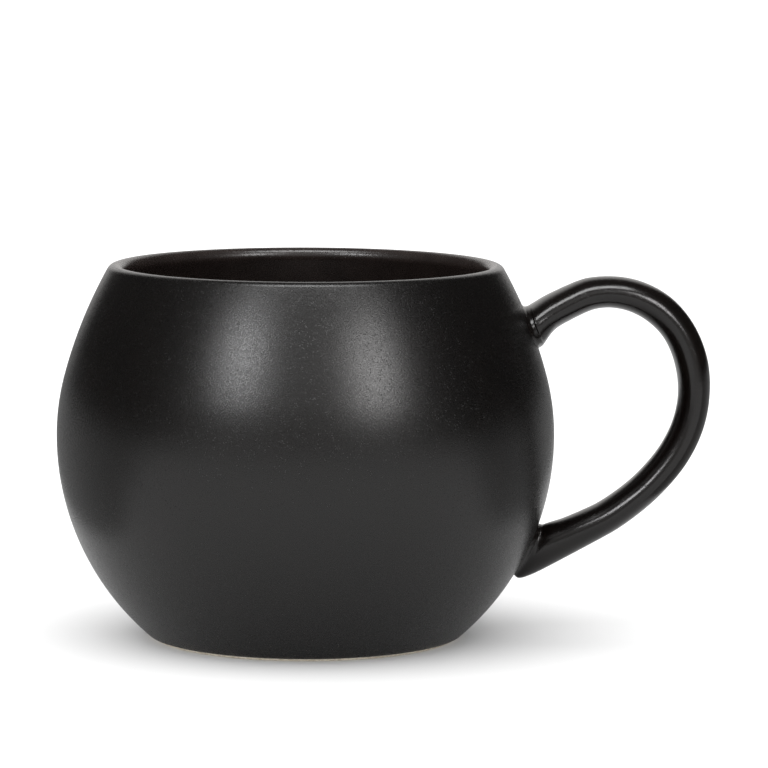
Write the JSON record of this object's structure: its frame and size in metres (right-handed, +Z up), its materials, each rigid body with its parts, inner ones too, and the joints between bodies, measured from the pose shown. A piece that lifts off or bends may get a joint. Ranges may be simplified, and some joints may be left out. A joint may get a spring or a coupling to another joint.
{
  "type": "mug",
  "caption": "Round-bellied stoneware mug with a looped handle, a satin black glaze, a black liner and a bare clay foot ring.",
  "frame": {"origin": "centre of the foot ring, in the plane the mug stands on", "axes": "+Z up along the mug's axis, +X towards the handle, +Y to the side"},
  "size_m": [0.1418, 0.108, 0.081],
  "materials": {
    "bare_clay": "matte",
    "slip": "matte",
    "black_glaze": "satin",
    "liner_glaze": "satin"
  },
  "bodies": {
    "root": {"body": "bare_clay", "handle": "bare_clay", "upper_slip_joint": "slip", "lower_slip_joint": "slip", "outer_glaze": "black_glaze", "inner_glaze": "liner_glaze", "handle_glaze": "black_glaze", "base_glaze": "black_glaze"}
  },
  "joints": []
}
